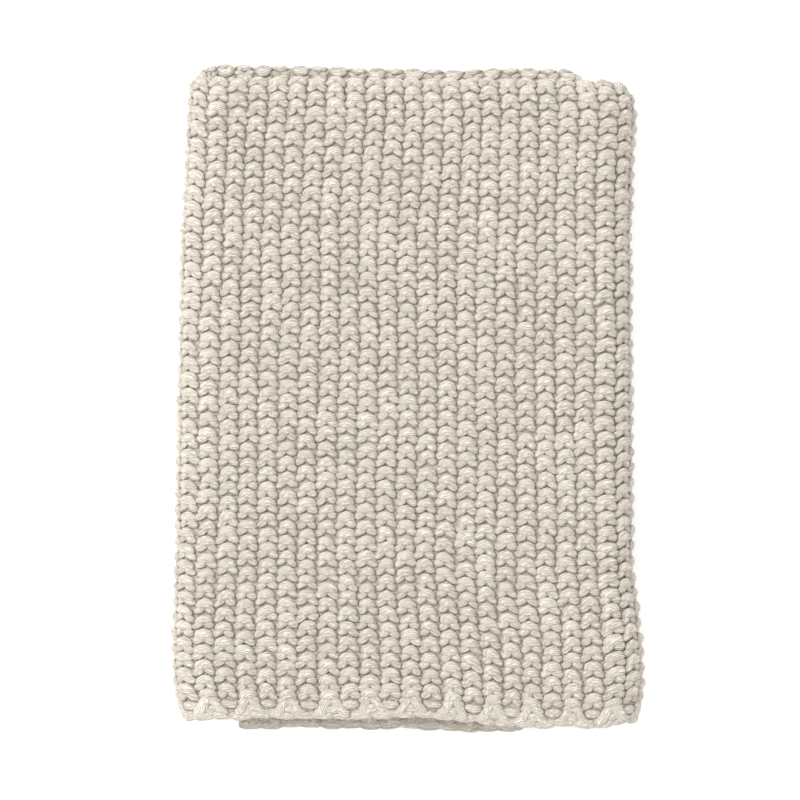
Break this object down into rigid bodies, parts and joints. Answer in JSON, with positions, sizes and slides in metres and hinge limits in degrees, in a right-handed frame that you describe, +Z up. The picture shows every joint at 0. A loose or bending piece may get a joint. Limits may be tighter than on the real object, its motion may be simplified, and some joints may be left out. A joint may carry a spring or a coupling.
{
  "type": "folded knitted dishcloth",
  "caption": "Square cotton dishcloth knitted in seed stitch, dry, folded in half and then in thirds into a soft flat bundle for wiping dishes.",
  "frame": {"origin": "middle of the footprint, on the surface that the folded cloth lies on", "axes": "+Y along the folded length towards the half fold, +X to the side of the wide fold, +Z up"},
  "size_m": [0.0904, 0.1284, 0.0165],
  "materials": {
    "cotton_knit": "matte soft cotton yarn in seed stitch, undyed pale stone"
  },
  "bodies": {
    "root": {"dishcloth": "cotton_knit"}
  },
  "joints": []
}
